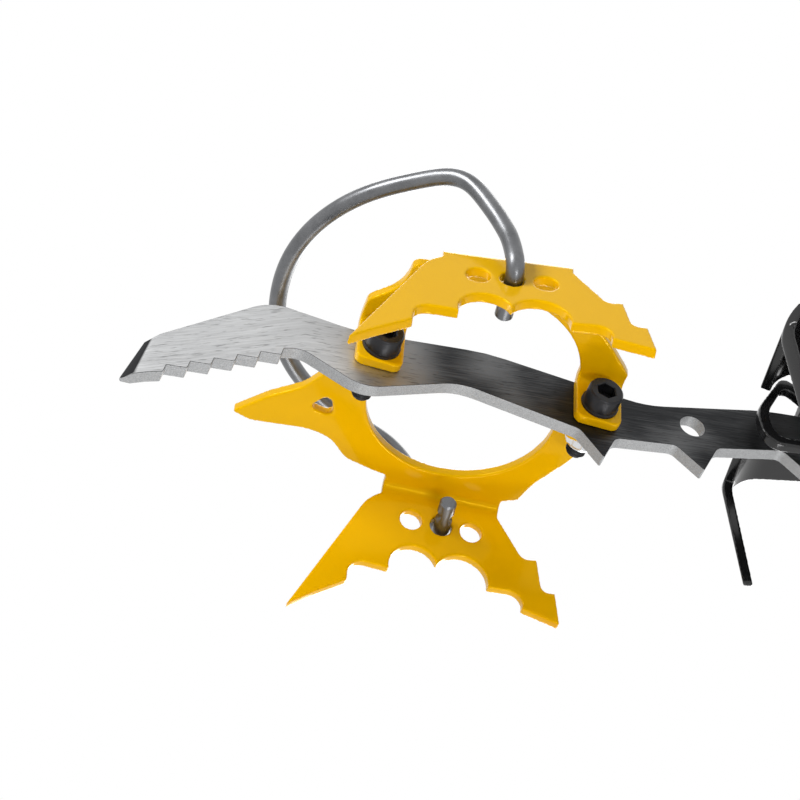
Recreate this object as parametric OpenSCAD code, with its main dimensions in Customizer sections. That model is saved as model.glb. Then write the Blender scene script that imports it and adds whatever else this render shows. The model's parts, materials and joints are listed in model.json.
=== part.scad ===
// Monopoint crampon: a vertical steel bar carries a single front point, two bent half frames
// clamp on it at the toe, and a heel unit slides along its straight rear part.
// X runs from toe to heel, Y to the side of the short secondary point, Z up, boot side.
// The origin is the centre of the round eye through the bar. All lengths are millimetres.

/* [Bar] */
// Thickness of the bar plate
bar_t = 4; // [3:0.5:5]
// Depth of the straight rear part of the bar
bar_depth = 15; // [13:0.5:17]
// Length of bar left behind the slider at its longest setting
bar_tail = 12; // [11:0.5:20]
// Length of the front point ahead of its hump
point_len = 35; // [33:0.5:37]
// Fall of the front point's upper edge, from hump to chisel corner
point_fall = 21.7; // [20.5:0.1:23]
// Length of the chisel's cutting edge
chisel_len = 16.5; // [15:0.1:18]
// Angle of the cutting edge to the ground
chisel_rake = 65; // [62:0.5:68]
// Width of the ground bevel on the chisel end
bevel_w = 2.6; // [2:0.1:4]
// Thickness left at the chisel's cutting edge
edge_t = 0.8; // [0.4:0.1:1.5]
// Number of saw teeth under the front point
tooth_count = 5; // [4:1:5]
// Pitch of the saw teeth along the bar
tooth_pitch = 6.5; // [6:0.1:6.6]
// Step from one saw tooth to the next
tooth_step = 2.62; // [2.3:0.02:2.8]
// Depth of the spikes under the bar
spike_depth = 8; // [6:0.5:10]
// Radius of the round eye in the bar
eye_r = 3.7; // [3:0.1:4.2]

/* [Toe frame] */
// Plate thickness of the two half frames
plate_t = 3; // [2.5:0.1:3.5]
// Inside radius of every bend in the half frames
bend_r = 2.2; // [1.5:0.1:3]
// Radius of the opening between the half frames
ring_r = 27; // [25:0.5:28]
// Distance between the two clamping screws
clamp_span = 63; // [60:0.5:66]
// Drop of the clamping screws below the boot plane
clamp_drop = 11.8; // [11:0.1:12.5]
// Width of a clamping tab along the bar
tab_w = 13.2; // [12:0.1:14.5]
// Height of a clamping tab below the boot plane
tab_h = 18; // [17:0.5:19]
// Pitch of the toe frame against the ground, nose up
toe_pitch = 8.4; // [6:0.1:10]
// Angle between the bar and the foot's axis at the toe
foot_yaw = 7; // [5:0.5:9]
// Offset of the foot's axis from the bar at the toe
foot_offset = 9.3; // [8:0.1:10]
// Half width between the bends of the two wings
wing_half = 43.9; // [43:0.1:46]
// Angle of each wing in plan, narrowing towards the toe
wing_toe_in = 3.6; // [2:0.1:5]
// Outward flare of the wings
wing_flare = 9.1; // [6:0.1:12]
// Length of the wing's front point below the bend
wing_front_drop = 44.7; // [40:0.1:48]
// Length of the wing's rear point below the bend
wing_rear_drop = 33; // [33:0.1:36]
// Pitch of the three bail holes in each wing
bail_hole_pitch = 9; // [8.2:0.1:10]
// Radius of the bail holes
bail_hole_r = 3.25; // [3:0.05:3.6]
// Drop of the bail holes below the bend
bail_hole_drop = 8.2; // [8:0.1:10]

/* [Toe bail] */
// Diameter of the bail wire, toe and heel
wire_d = 5; // [4:0.25:5.5]
// Height of the bail's front loop above its pivot
bail_rise = 36; // [32:0.2:40]
// Reach of the bail's front loop ahead of its pivot
bail_reach = 58.5; // [55:0.5:62]
// Radius of the front loop of the bail
bail_loop_r = 50; // [46:0.5:51]
// Length of the bail's pivot pins inside the wings
bail_pin_len = 12.5; // [9:0.5:15]

/* [Clamp screws] */
// Diameter of the clamp screws
screw_d = 6; // [5:0.5:6]
// Diameter of the socket heads
head_d = 10; // [9:0.5:11]
// Height of the socket heads
head_h = 6; // [5:0.5:7]
// Across flats of the hexagon sockets
socket_af = 5; // [4:0.5:5]
// Across flats of the nuts
nut_af = 10; // [9:0.5:10.5]
// Height of the nuts
nut_h = 5.5; // [4:0.5:6]
// Length of screw showing past the nuts
screw_tail = 4.5; // [1:0.5:5]
// Clearance round screws in their holes, on the radius
screw_gap = 0.2; // [0.1:0.05:0.3]

/* [Heel unit] */
// Plate thickness of the heel frame
heel_t = 3; // [2.5:0.1:3.5]
// Place of the heel frame's front bend along the bar, from the toe frame's middle
heel_x = 94; // [92:0.2:96]
// Angle between the bar and the heel frame's axis
heel_yaw = 8; // [6:0.5:10]
// Offset of the heel frame's axis from the bar
heel_shift = -3.7; // [-5:0.1:-3]
// Outside radius of the rolled front edge
roll_r = 15; // [13:0.5:17]
// Half width of the heel frame at its front
heel_half = 37; // [36.4:0.2:38]
// Radius of the heel frame's rounded front corners
corner_r = 11; // [10:0.5:12]
// Length of the heel plate behind the rolled front
heel_len = 72; // [70:0.5:76]
// Depth of the heel points below the heel plate
heel_point_h = 48; // [46:0.5:52]
// How far the finger guard reaches ahead of the slider
guard_reach = 27.8; // [26:0.2:29]
// Length of the slider block on the bar
slider_len = 40; // [36:0.5:44]
// Side wall of the slider block beside the bar
slider_wall = 3.4; // [3:0.1:4]
// Running clearance of the slider on the bar
slider_gap = 0.08; // [0.04:0.01:0.1]
// Travel of the heel unit along the bar
heel_travel = 60; // [40:10:60]
// Pitch of the locking holes in the bar
lock_pitch = 10; // [10:1:12]
// Radius of the locking pin
lock_pin_r = 2; // [1.8:0.1:2.2]

/* [Heel clip] */
// Length of the heel bail from its pivot to its cross bar
heel_bail_len = 74; // [70:1:80]
// Height of the heel bail's pivot above the heel plate
heel_pivot_h = 14; // [12:0.5:16]
// Droop of the heel bail when it lies back
heel_bail_droop = 10; // [5:1:15]
// Length of the heel lever
lever_len = 60; // [56:1:64]
// Width of the heel lever
lever_w = 24; // [22:0.5:28]
// Thickness of the heel lever
lever_t = 13; // [12:0.5:15]
// Diameter of the thumb wheel
wheel_d = 17; // [15:0.5:18]
// Width of the thumb wheel
wheel_w = 7; // [6:0.5:8]
// Running clearance of hinge pins and shafts, on the radius
pin_gap = 0.08; // [0.04:0.01:0.1]

/* [Hidden] */
$fn = 48;

yellow = "#e6b400";
steel = "#8f9296";
dark_steel = "#4a4c50";
black = "#18181a";
zinc = "#c8cacd";

wire_r = wire_d / 2;
half_t = bar_t / 2;
tab_face = half_t + plate_t;
bore_r = screw_d / 2 + screw_gap;
cut = 0.1;
lap = 1.6;
seat = 0.5;
thin = 0.05;

// Bar stations, as x along the bar and z above the boot plane at the toe
hump = [-61.5, 6.1];
chisel_top = [hump[0] - point_len, hump[1] - point_fall];
tip = chisel_top - chisel_len * [cos(chisel_rake), sin(chisel_rake)];
toe_flat_x = -37;
toe_knee = [0, 0];
waist = [46.4, -10.7];
rear_top = -5;
rear_start = 84;
rear_bottom = rear_top - bar_depth;
teeth_start = [-91.1, -24.2];
tooth_lean = 0.9;
eye = [59.7, -15.9];
spike_roots = [[24.7, -23.9, 35.1, -25.3], [53.2, -24.3, 66.1, -23.0], [86.6, -19.9, 99.5, rear_bottom]];
spike_rake = 0.56;

// Toe frame places, in the frame's own pitched axes with the boot plane at zero
clamp_mid = 0.95;
clamp_x = [clamp_mid - clamp_span / 2, clamp_mid + clamp_span / 2];
far_shift = 19;
ring_side = ring_r - 0.3;
wing_span = [-18.5, 16.5];
tab_tangent = tab_face + bend_r;
bend_out = bend_r + plate_t;
bail_drop = bend_out - (bend_r + plate_t / 2) * sin(wing_flare) + bail_hole_drop * cos(wing_flare);
bail_leg_y = wing_half + bend_out * cos(wing_flare) + bail_hole_drop * sin(wing_flare) + wire_r + 1.4;
pin_bend = wire_d * 0.9;

// Heel unit places
heel_top = 4.5;
heel_under = heel_top - heel_t;
side_tangent = heel_half - bend_r - heel_t;
corner_x = corner_r - roll_r - 1;
corner_y = heel_half + 1 - corner_r;
point_inner = heel_half - 6.3;
point_outer = point_inner + 3.9;
arch_mid = -heel_shift * cos(heel_yaw) - roll_r * sin(heel_yaw);
arch = [arch_mid - 10, arch_mid + 10];
slider_x = heel_x + 11;
slider_half = half_t + slider_gap + slider_wall;
bar_end = slider_x + slider_len + heel_travel + bar_tail;
slider_low = rear_bottom - slider_gap - 4;
slider_screw_x = [slider_x + 5, slider_x + slider_len - 5];
slider_screw_y = 9;
flange_half = 13;
flange_h = 6;
lock_z = (rear_top + rear_bottom) / 2;
lock_x = slider_x + 32;
lock_hole_r = lock_pin_r + 1.4;
lever_rod_r = 2.5;
lever_y = -slider_half - lever_rod_r - 0.3;
lever_pivot_x = slider_x + 12;
pivot_r = 1.2;
lug_z = 3.2;
lug_t = 2.4;
spring_room = 5;
lip_angle = 68;
guard_t = 3;
guard_seat = 8;
ear_x = heel_len - 8;
bush_r = wire_r + 1.6;
heel_leg_y = heel_half + 6;
barrel_r = wire_r + 3;
barrel_half = 7;
clip_travel = 3;
thread_r = 2.5;
wheel_x = 30;

// Points along an outline of corners [x, y, radius], each corner rounded by an arc
function unit(v) = v / norm(v);
function corner_arc(a, b, c, r) =
    let(u = unit(a - b), v = unit(c - b), half = acos(max(-1, min(1, u * v))) / 2, d = r / tan(half),
        o = b + unit(u + v) * (r / sin(half)), s = b + u * d,
        turn = sign(u[0] * v[1] - u[1] * v[0]), sweep = 180 - 2 * half,
        a0 = atan2(s[1] - o[1], s[0] - o[0]), n = max(2, ceil(sweep / 7)))
    [for (i = [0:n]) o + r * [cos(a0 - turn * sweep * i / n), sin(a0 - turn * sweep * i / n)]];
function flat(p) = [p[0], p[1]];
function rounded(p) = let(n = len(p)) [for (i = [0:n - 1]) each p[i][2] > 0
    ? corner_arc(flat(p[(i + n - 1) % n]), flat(p[i]), flat(p[(i + 1) % n]), p[i][2])
    : [flat(p[i])]];

module outline(p) {
    polygon(rounded(p));
}

// A plate standing in the XZ plane, from y0 towards positive Y
module upright(y0, t) {
    translate([0, y0 + t, 0])
        rotate([90, 0, 0])
            linear_extrude(t)
                children();
}

// Cross section of a bent plate: a thinned lap, the bend, and a thinned lap after it, both inside the plates
function bend_section(angle, r, t, lap_a) =
    let(n = ceil(angle / 7), o = r + t, end = [cos(angle), -sin(angle)], out = [sin(angle), cos(angle)])
    concat([[-lap_a, -thin]], [for (i = [0:n]) [o * sin(angle * i / n), o * cos(angle * i / n) - o]],
        [[0, -o] + (o - thin) * out + lap * end, [0, -o] + (r + thin) * out + lap * end],
        [for (i = [n:-1:0]) [r * sin(angle * i / n), r * cos(angle * i / n) - o]], [[-lap_a, thin - t]]);

// The bend as a strip along X, turning down towards positive Y
module bent_strip(len, angle, r, t, lap_a = lap) {
    rotate([90, 0, 90])
        linear_extrude(len)
            polygon(bend_section(angle, r, t, lap_a));
}

// Points along a wire path p, with bend radius rb at every inner point
function wire_bend(a, b, c, r) =
    let(u = unit(b - a), v = unit(c - b), angle = acos(u * v), e = unit(v - u * cos(angle)),
        s = b - u * (r * tan(angle / 2)), n = max(2, ceil(angle / 9)))
    [for (i = [0:n]) s + r * (u * sin(angle * i / n) + e * (1 - cos(angle * i / n)))];
function wire_points(p, rb) = let(n = len(p)) concat([p[0]],
    [for (i = [1:n - 2]) each wire_bend(p[i - 1], p[i], p[i + 1], rb[i])], [p[n - 1]]);

// A closed tube of the given radius along a list of points
function along(p, i) = unit(p[min(i + 1, len(p) - 1)] - p[max(i - 1, 0)]);
function square_to(v, t) = unit(v - t * (v * t));
function tube_sides(p, side) = [for (i = 0, v = square_to(side, along(p, 0)); i < len(p);
    i = i + 1, v = square_to(v, along(p, min(i, len(p) - 1)))) v];
module tube(p, r, sides, side = [0, 0, 1]) {
    v = tube_sides(p, side);
    n = len(p);
    rings = [for (i = [0:n - 1]) let(w = cross(along(p, i), v[i]))
        each [for (k = [0:sides - 1]) p[i] + r * (v[i] * cos(360 * k / sides) + w * sin(360 * k / sides))]];
    walls = [for (i = [0:n - 2], k = [0:sides - 1]) let(a = i * sides + k, b = i * sides + (k + 1) % sides)
        [a, a + sides, b + sides, b]];
    first = [for (k = [0:sides - 1]) k];
    last = [for (k = [sides - 1:-1:0]) (n - 1) * sides + k];
    polyhedron(rings, concat(walls, [first, last]));
}

// A round pin along Y from y0 to y1
module pin_y(y0, y1, r) {
    translate([0, min(y0, y1), 0])
        rotate([-90, 0, 0])
            cylinder(r = r, h = abs(y1 - y0));
}

module cross_bore(x, z, r) {
    translate([x, 0, z])
        rotate([90, 0, 0])
            cylinder(r = r, h = 4 * tab_face, center = true);
}

// Everything is drawn from the toe frame's middle and moved to the eye here
module from_toe() {
    translate([-eye[0], 0, -eye[1]]) children();
}

module toe_axes() {
    from_toe() rotate([0, toe_pitch, 0]) children();
}

module foot_axes() {
    rotate([0, 0, -foot_yaw]) translate([0, foot_offset, 0]) children();
}

module heel_axes() {
    from_toe() translate([heel_x, heel_shift, heel_top]) rotate([0, 0, -heel_yaw]) children();
}

module both_sides() {
    children();
    mirror([0, 1, 0]) children();
}

// Bar with the front point, saw teeth, spikes, eye and locking holes
function spike(r) = [[r[2], r[3], 3], [r[0] + (r[2] - r[0]) * spike_rake, min(r[1], r[3]) - spike_depth, 0.4],
    [r[0], r[1], 3]];

module bar_outline() {
    upper = [[tip[0], tip[1], 0.4], [chisel_top[0], chisel_top[1], 0.5], [hump[0], hump[1], 14],
        [toe_flat_x, 0, 40], [toe_knee[0], toe_knee[1], 50], [waist[0], waist[1], 30],
        [rear_start, rear_top, 60], [bar_end, rear_top, 3]];
    lower = [[bar_end, rear_bottom, 3], for (i = [2:-1:0]) each spike(spike_roots[i]),
        [-9, -13.5, 18], [-37, -21.2, 12], [-53.5, -10.2, 7]];
    teeth = [for (i = [tooth_count - 1:-1:0]) each
        [[teeth_start[0] + tooth_pitch * (i + 1), teeth_start[1] + tooth_step * (i + 1), 0],
         [teeth_start[0] + tooth_pitch * (i + 1) - tooth_lean, teeth_start[1] + tooth_step * i, 0]],
        [teeth_start[0], teeth_start[1], 0], [teeth_start[0] - tooth_lean, teeth_start[1] - tooth_step, 0],
        [tip[0] + 7.4, tip[1] + 2.7, 2]];
    outline(concat(upper, lower, teeth));
}

// A wedge that grinds one side of the chisel end down to the cutting edge
module chisel_grind() {
    slope = (half_t - edge_t / 2) / bevel_w;
    translate([tip[0], 0, tip[1]])
        rotate([0, -chisel_rake, 0])
            translate([-5, 0, 0])
                rotate([90, 0, 90])
                    linear_extrude(chisel_len + 15)
                        polygon([[edge_t / 2 - slope, 1], [half_t + 1, 1], [half_t + 1, -bevel_w - 1 / slope]]);
}

module main_bar() {
    color(steel)
        from_toe()
            difference() {
                upright(-half_t, bar_t) bar_outline();
                both_sides() chisel_grind();
                rotate([0, toe_pitch, 0])
                    for (x = clamp_x)
                        cross_bore(x, -clamp_drop, bore_r);
                cross_bore(eye[0], eye[1], eye_r);
                for (d = [0:lock_pitch:heel_travel])
                    cross_bore(lock_x + d, lock_z, lock_hole_r);
                cross_bore(bar_end - 6, lock_z, 2.5 + screw_gap);
            }
}

// Wing: outline in its own plane, along the bend and down from it
module wing_outline() {
    front = wing_front_drop;
    rear = wing_rear_drop;
    difference() {
        outline([[wing_span[0] + seat, -seat, 0], [-22.5, -3.6, 12], [-41.5, -front, 0],
            [-34.3, 5.7 - front, 30], [-25.4, 11.9 - front, 0], [-25.7, -25.3, 4.5],
            [-12.2, -26.2, 0], [-6.8, -26.4, 0], [-0.2, -22.4, 0],
            [7.3, -26.4, 0], [15, -25.6, 0], [27, -24.9, 4], [26, 2.7 - rear, 0], [37.4, -rear, 0],
            [35.4, 10 - rear, 0], [31.4, 9.8 - rear, 2.5], [29.3, 20.1 - rear, 0], [25, 19.5 - rear, 3],
            [wing_span[1] - seat, -seat, 0]]);
        translate([-6.8, -24.1]) circle(7.2);
        translate([7.3, -25.1]) circle(8.2);
        for (i = [-1:1])
            translate([i * bail_hole_pitch, -bail_hole_drop]) circle(bail_hole_r);
    }
}

// Bend and wing, drawn outwards from the bend's start
module wing() {
    translate([wing_span[0], 0, 0])
        bent_strip(wing_span[1] - wing_span[0], 90 - wing_flare, bend_r, plate_t);
    translate([0, 0, -bend_out])
        rotate([wing_flare, 0, 0])
            translate([0, bend_out, 0])
                rotate([90, 0, 0])
                    linear_extrude(plate_t)
                        wing_outline();
}

module wing_on_side(side) {
    foot_axes()
        translate([0, side * wing_half, 0])
            rotate([0, 0, side * wing_toe_in])
                mirror([0, side < 0 ? 1 : 0, 0])
                    wing();
}

// Clamping tab with its bend; the plate arrives from positive Y
module tab(x) {
    x0 = x - tab_w / 2;
    difference() {
        union() {
            translate([x0, tab_tangent, 0])
                mirror([0, 1, 0])
                    bent_strip(tab_w, 90, bend_r, plate_t, 3);
            upright(half_t, plate_t)
                outline([[x0, -bend_out - seat, 0], [x0 + tab_w, -bend_out - seat, 0], [x0 + tab_w, -tab_h, 2.5],
                    [x0, -tab_h, 2.5]]);
        }
        cross_bore(x, -clamp_drop, bore_r);
    }
}

// Corner of a ring outline at the start or end of a wing's bend line
function bend_point(u, side) =
    let(x = u * cos(wing_toe_in), y = side * (wing_half + u * sin(wing_toe_in)) + foot_offset)
    [x * cos(foot_yaw) + y * sin(foot_yaw), side * (y * cos(foot_yaw) - x * sin(foot_yaw)), 0];

// Half frame without wing or tabs: plan outline with the opening cut out
module half_ring(shift, p) {
    translate([0, 0, -plate_t])
        linear_extrude(plate_t)
            difference() {
                outline(p);
                translate([0, shift]) circle(ring_r);
                translate([-ring_side, shift - 2 * ring_r]) square([2 * ring_side, 2 * ring_r]);
            }
}

module left_toe_frame() {
    front = clamp_x[0] - tab_w / 2;
    rear = clamp_x[1] + tab_w / 2;
    start = bend_point(wing_span[0], -1);
    end = bend_point(wing_span[1], -1);
    color(yellow)
        toe_axes() {
            mirror([0, 1, 0]) {
                for (x = clamp_x)
                    tab(x);
                half_ring(-0.5, [[front, tab_tangent, 0], [front, 12, 4], [-29.5, 19.5, 14],
                    [-29.2, 28.5, 2.5], start + [-2.6, -1.6, 1.5], start + [seat, -seat, 0],
                    end + [-seat, -seat, 0], end + [0.8, -2.2, 2], end + [5.4, -4.8, 0],
                    end + [5.6, -6.5, 2.5], [31.5, 18, 20], [rear, 10.2, 4], [rear, tab_tangent, 0]]);
            }
            wing_on_side(-1);
        }
}

module right_toe_frame() {
    front = clamp_x[0] - tab_w / 2;
    rear = clamp_x[1] + tab_w / 2;
    start = bend_point(wing_span[0], 1);
    end = bend_point(wing_span[1], 1);
    color(yellow)
        toe_axes() {
            for (x = clamp_x)
                tab(x);
            difference() {
                half_ring(far_shift, [[front, tab_tangent, 0], [-38.4, 13, 8], [-40.6, 19.3, 10],
                    [-44.5, 26.2, 10], [-53, 33.3, 20], [-61.2, 42.6, 0.6], [-55.4, 44.3, 8],
                    [-38.5, 41.6, 16], [-31.5, 43.2, 10], [-25.5, 49.4, 6], start + [-4.4, -2.4, 2],
                    start + [-0.6, -2, 1.5], start + [seat, -seat, 0], end + [-seat, -seat, 0],
                    end + [0.6, -1.6, 1.2], end + [4.2, -3.4, 0.5], [29.2, 40.4, 10], [36.4, 26, 24],
                    [rear, 13, 8], [rear, tab_tangent, 0]]);
                translate([0, 0, -plate_t - cut])
                    linear_extrude(plate_t + 2 * cut)
                        outline([[-41, 33.2, 1.5], [-37.6, 27.6, 1.6], [-35.4, 28.4, 1.6], [-33.2, 34.8, 1.8]]);
            }
            wing_on_side(1);
        }
}

// Socket-head screws through both tabs and the bar
module clamp_screws() {
    grip = 2 * tab_face + nut_h + screw_tail;
    color(black)
        toe_axes()
            for (x = clamp_x)
                translate([x, -tab_face, -clamp_drop])
                    rotate([-90, 0, 0])
                        difference() {
                            union() {
                                translate([0, 0, -head_h]) cylinder(d = head_d, h = head_h);
                                translate([0, 0, -0.8]) cylinder(d = head_d + 0.8, h = 0.8);
                                translate([0, 0, -cut]) cylinder(d = screw_d, h = grip + cut);
                            }
                            translate([0, 0, -head_h - cut])
                                cylinder(d = socket_af / cos(30), h = head_h * 0.6, $fn = 6);
                        }
}

module clamp_nuts() {
    color(zinc)
        toe_axes()
            for (x = clamp_x)
                translate([x, tab_face, -clamp_drop])
                    rotate([-90, 0, 0])
                        difference() {
                            intersection() {
                                cylinder(d = nut_af / cos(30), h = nut_h, $fn = 6);
                                cylinder(d1 = nut_af + 1.6 + nut_h, d2 = nut_af + 0.2, h = nut_h + cut);
                            }
                            translate([0, 0, -cut]) cylinder(d = screw_d + 0.1, h = nut_h + 2 * cut);
                        }
}

// Toe bail: pins through the middle wing holes, legs up, and a loop round the boot's toe
module toe_bail() {
    y = bail_leg_y;
    front_y = bail_loop_r * 0.64;
    inner = y - pin_bend - bail_pin_len;
    half = [[0, y - pin_bend - 1, 0], [0, y, 0], [-2.4, y, bail_rise * 0.4], [-15.6, y, bail_rise],
        [-28.9, y - 6.8, bail_rise], [-bail_reach, front_y, bail_rise]];
    flip = [for (i = [5:-1:0]) [half[i][0], -half[i][1], half[i][2]]];
    bends = [0, pin_bend, 40, 7, 12, bail_loop_r, bail_loop_r, 12, 7, 40, pin_bend, 0];
    color(dark_steel)
        toe_axes()
            foot_axes()
                translate([0, 0, -bail_drop]) {
                    tube(wire_points(concat(half, flip), bends), wire_r * 0.998, 20);
                    both_sides()
                        difference() {
                            pin_y(inner, y - pin_bend, wire_r);
                            for (side = [-1, 1])
                                translate([side * wire_r * 1.15, inner + bail_pin_len * 0.42, 0])
                                    rotate([0, 0, 45])
                                        cube([1.8, 1.8, wire_d + 1], center = true);
                        }
                }
}

// Heel frame: plate, rolled front with two points, side points and ears for the bail
module heel_plan() {
    difference() {
        outline([[0, -heel_half, 0], [20, -heel_half, 4], [25, -side_tangent, 3], [heel_len, -side_tangent, 0],
            [heel_len, side_tangent, 0], [25, side_tangent, 3], [20, heel_half, 4], [0, heel_half, 0]]);
        translate([-cut, arch[0]]) square([4, arch[1] - arch[0]]);
        translate([heel_len + 8, 0]) circle(24);
    }
}

module rolled(angle, y0, y1) {
    translate([0, y1, -roll_r])
        rotate([90, 0, 0])
            rotate([0, 0, 90])
                rotate_extrude(angle = angle)
                    translate([roll_r - heel_t, 0])
                        square([heel_t, y1 - y0]);
}

module heel_front() {
    tip = roll_r - heel_point_h;
    rolled(90, point_inner, point_outer);
    rolled(lip_angle, point_outer, heel_half);
    translate([-roll_r, 0, -roll_r])
        rotate([90, 0, 90])
            linear_extrude(heel_t)
                outline([[point_inner, 0, 0], [point_outer, 0, 0], [point_outer, -8, 12],
                    [point_inner + 2.2, tip, 0.6], [point_inner + 0.6, tip, 0.6]]);
}

// What is cut off outside a rounded front corner
module corner_waste() {
    h = heel_point_h + 2;
    translate([corner_x, corner_y, 1 - h])
        difference() {
            translate([-2 * corner_r, 0, 0]) cube([2 * corner_r, 2 * corner_r, h]);
            translate([0, 0, -1]) cylinder(r = corner_r, h = h + 2);
        }
}

// Side flange below the plate with one rear point
module heel_side() {
    x0 = 27;
    x1 = 44;
    translate([x0, side_tangent, 0]) bent_strip(x1 - x0, 90, bend_r, heel_t);
    upright(heel_half - heel_t, heel_t)
        outline([[x0, -heel_t - bend_r - seat, 0], [x1, -heel_t - bend_r - seat, 0], [x1 - 3, -26, 20],
            [x1 - 6, -heel_point_h, 0.8], [x0 + 3, -24, 12]]);
}

// Upright ear with the hole for a bush
module heel_ear() {
    x0 = heel_len - 16;
    translate([x0, side_tangent, -heel_t])
        mirror([0, 0, 1])
            bent_strip(16, 90, bend_r, heel_t);
    upright(heel_half - heel_t, heel_t)
        difference() {
            outline([[x0, bend_r + seat, 0], [heel_len, bend_r + seat, 0], [heel_len, heel_pivot_h + 7, 6],
                [x0, heel_pivot_h + 7, 6]]);
            translate([ear_x, heel_pivot_h]) circle(bush_r);
        }
}

module heel_frame() {
    color(black)
        difference() {
            heel_axes() {
                translate([0, 0, -heel_t]) linear_extrude(heel_t) heel_plan();
                rolled(lip_angle, -point_inner, arch[0]);
                rolled(lip_angle, arch[1], point_inner);
                both_sides() {
                    heel_front();
                    heel_side();
                    heel_ear();
                }
            }
            slider_screw_places() flat_head(0.05, 1);
            heel_axes() both_sides() corner_waste();
        }
}

module slider_screw_places() {
    from_toe()
        for (x = slider_screw_x, side = [-1, 1])
            translate([x, side * slider_screw_y, heel_top]) children();
}

// Countersunk screw shape, head top at zero
module flat_head(grow, above) {
    translate([0, 0, -2.2]) cylinder(r1 = 2 + grow, r2 = 4.2 + grow, h = 2.2);
    translate([0, 0, -cut]) cylinder(r = 4.2 + grow, h = above + cut);
    translate([0, 0, -heel_t - flange_h + 0.5]) cylinder(r = 2 + grow, h = heel_t + flange_h - 0.6);
}

module slider_screws() {
    color(zinc)
        slider_screw_places()
            difference() {
                flat_head(0, 0);
                translate([0, 0, -1.3]) cylinder(d = 2.5 / cos(30), h = 2, $fn = 6);
            }
}

// Slider block that runs on the straight rear part of the bar, with lugs for the lock lever
module slider_block() {
    color("#2a2b2e")
        difference() {
            from_toe()
                difference() {
                    union() {
                        translate([slider_x, -slider_half, slider_low])
                            cube([slider_len, 2 * slider_half, heel_under - slider_low]);
                        translate([slider_x, -flange_half, heel_under - flange_h])
                            cube([slider_len, 2 * flange_half, flange_h]);
                        for (z = [lock_z - lug_z - lug_t, lock_z + lug_z])
                            translate([lever_pivot_x - 3.5, lever_y - 3, z])
                                cube([7, 4 - lever_y - slider_half, lug_t]);
                    }
                    translate([slider_x - cut, -half_t - slider_gap, rear_bottom - slider_gap])
                        cube([slider_len + 2 * cut, bar_t + 2 * slider_gap, bar_depth + 2 * slider_gap]);
                    translate([lock_x, 0, lock_z])
                        rotate([90, 0, 0]) cylinder(r = lock_pin_r + 1.6, h = flange_half);
                    translate([lever_pivot_x, lever_y, lock_z - 8]) cylinder(r = pivot_r + 0.05, h = 14.5);
                }
            slider_screw_places() flat_head(0.05, 1);
        }
}

// Finger guard: a loop on the near side of the slider, round the end of the lock lever
module lever_guard() {
    x0 = slider_x - guard_reach;
    x1 = slider_x + guard_seat;
    low = slider_low;
    top = heel_under - flange_h;
    color(black)
        from_toe()
            upright(-slider_half - guard_t, guard_t)
                difference() {
                    outline([[x0 + 1.2, low, 6], [x0, -12, 14], [x0 + 11.5, 4, 3], [x0 + 19.5, top, 5],
                        [x1, top, 1], [x1, low, 1]]);
                    outline([[x0 + 4.4, low + 3, 4], [x0 + 3.6, -12, 10], [x0 + 11.2, -0.4, 2.5],
                        [x0 + 18, top - 2.7, 4], [x1 + 1, top - 2.7, 0], [x1 + 1, low + 3, 0]]);
                }
}

// Lock lever: rocks on an upright pivot; its slim rear arm carries the locking pin
module lock_lever() {
    nose = 23;
    arm = lock_x - lever_pivot_x;
    arm_t = 2;
    color(dark_steel)
        from_toe()
            translate([lever_pivot_x, lever_y, lock_z])
                difference() {
                    union() {
                        translate([-nose, 0, 0]) sphere(lever_rod_r);
                        translate([-nose, 0, 0])
                            rotate([0, 90, 0]) cylinder(r = lever_rod_r, h = nose);
                        translate([0, 0, -lug_z + 0.2]) cylinder(r = lever_rod_r + 0.1, h = 2 * lug_z - 0.4);
                        translate([0, -lever_rod_r, -lever_rod_r]) cube([arm + 3, arm_t, 2 * lever_rod_r]);
                        translate([arm, -lever_rod_r, 0])
                            rotate([-90, 0, 0])
                                cylinder(r = lock_pin_r, h = lever_rod_r - lever_y - half_t - 0.3);
                    }
                    translate([0, 0, -8]) cylinder(r = pivot_r + pin_gap, h = 16);
                }
}

module lock_pivot() {
    reach = lug_z + lug_t;
    color(zinc)
        from_toe()
            translate([lever_pivot_x, lever_y, lock_z]) {
                translate([0, 0, -reach - spring_room]) cylinder(r = pivot_r, h = 2 * reach + spring_room);
                translate([0, 0, -reach - spring_room - 1]) cylinder(r = 2.2, h = 1 + cut);
            }
}

// Torsion spring on the pivot below the lower lug, one leg along the block and one towards the lever's nose
module lock_spring() {
    turns = 3;
    coil_r = 2.2;
    gauge_r = 0.35;
    pitch = 1.2;
    z0 = -lug_z - lug_t - 0.6;
    steps = 8 * turns;
    coil = [for (i = [0:steps]) [-coil_r * sin(45 * i), coil_r * cos(45 * i), z0 - pitch * i / 8]];
    leg = lever_pivot_x - slider_x - guard_seat - 0.6;
    path = concat([[8, coil_r + 0.01, z0]], coil, [[-leg, coil_r + 0.01, z0 - pitch * turns]]);
    echo(least_gap_between_curls = pitch - 2 * gauge_r);
    color(zinc)
        from_toe()
            translate([lever_pivot_x, lever_y, lock_z])
                tube(path, gauge_r, 6, [0, 1, 0]);
}

// Headed rivet through the rear end of the bar that keeps the slider on
module bar_end_rivet() {
    color(black)
        from_toe()
            translate([bar_end - 6, 0, lock_z])
                rotate([-90, 0, 0]) {
                    translate([0, 0, -half_t - 3]) cylinder(d = 9, h = 3);
                    translate([0, 0, half_t]) cylinder(d = 9, h = 3);
                    translate([0, 0, -half_t - 1]) cylinder(d = 5, h = bar_t + 2);
                }
}

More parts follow.
